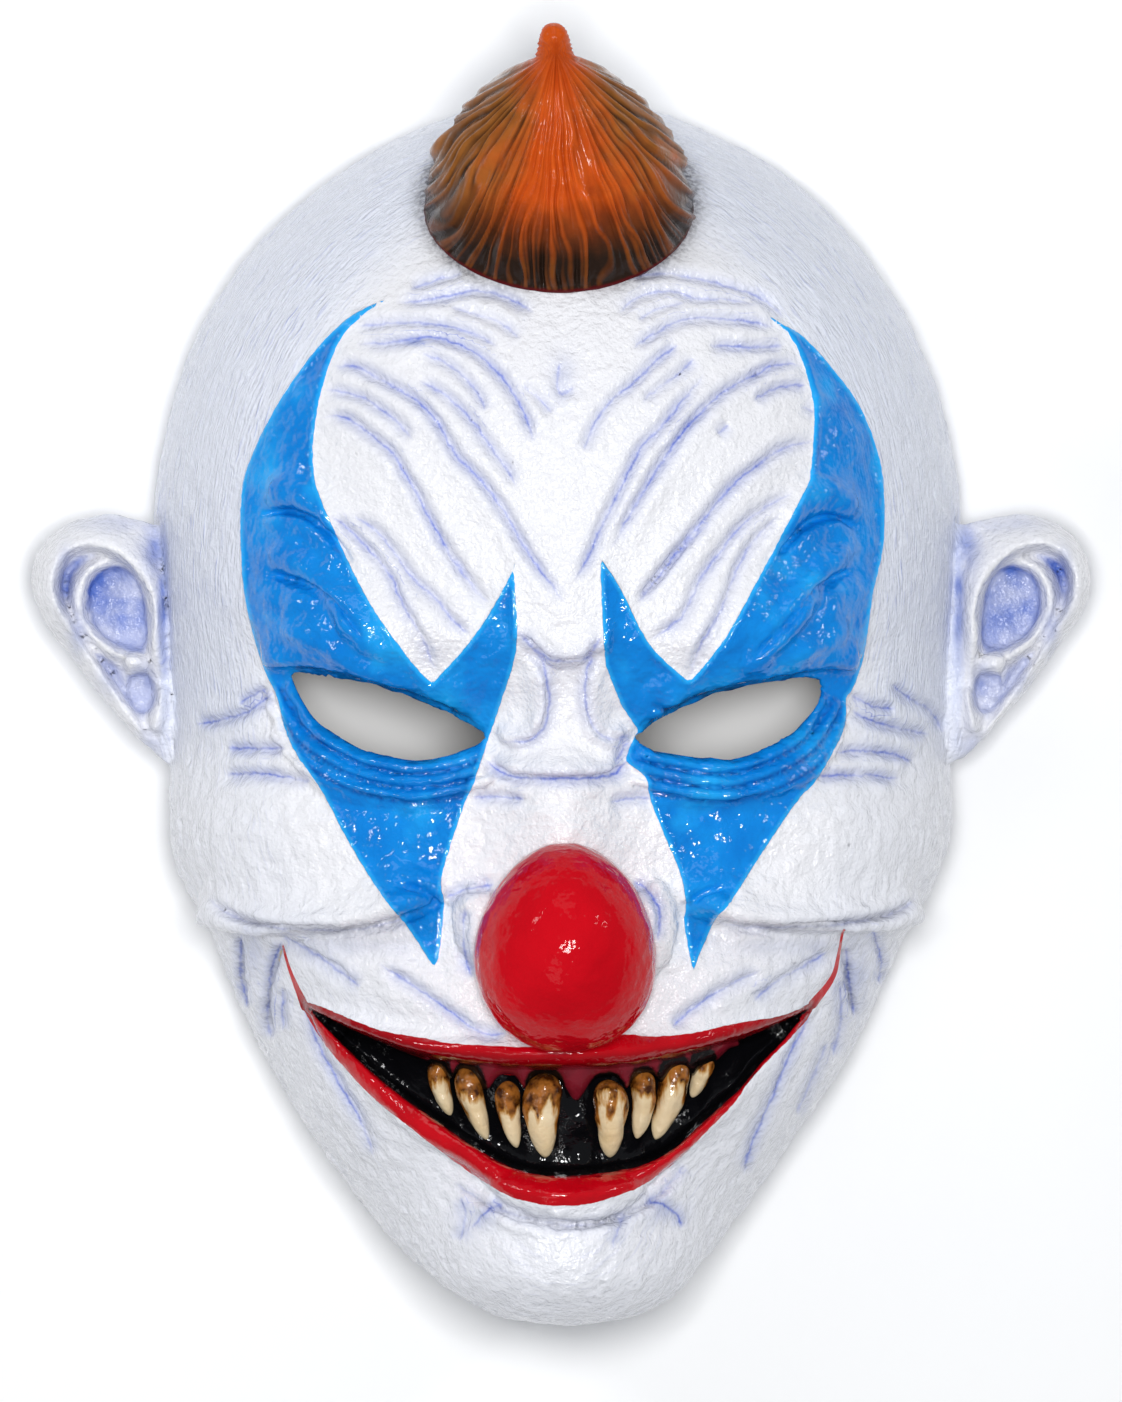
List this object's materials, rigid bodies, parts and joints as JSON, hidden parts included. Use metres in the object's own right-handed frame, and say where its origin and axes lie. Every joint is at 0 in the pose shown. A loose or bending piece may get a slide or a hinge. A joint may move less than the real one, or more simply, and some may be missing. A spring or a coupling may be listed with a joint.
{
  "type": "clown mask",
  "caption": "Hollow latex clown mask with a scowling brow, a wide toothy grin, a ball nose, ears and a pointed hair tuft, open at the eyes and at the back.",
  "frame": {"origin": "middle of the mask's box, on the flat rim that it lies on", "axes": "+X to the right across the face as one looks at it, +Y from chin to crown, +Z out of the face"},
  "size_m": [0.2388, 0.2916, 0.1517],
  "materials": {
    "white_latex": "white painted latex with a soft sheen and a violet-blue wash in its wrinkles",
    "blue_paint": "glossy blue paint over latex, round the eyes",
    "red_paint": "glossy red paint over latex, on the nose and lips",
    "hair_paint": "glossy orange paint over latex, going brown and black towards the foot of the tuft",
    "mouth_paint": "glossy black paint over latex, inside the mouth",
    "gum_paint": "dull red paint over latex, on the gum",
    "tooth_paint": "glossy ivory paint over latex, stained amber and brown at the roots",
    "raw_latex": "bare matt latex, on the inside and the rim"
  },
  "bodies": {
    "root": {"mask": "white_latex"}
  },
  "joints": []
}
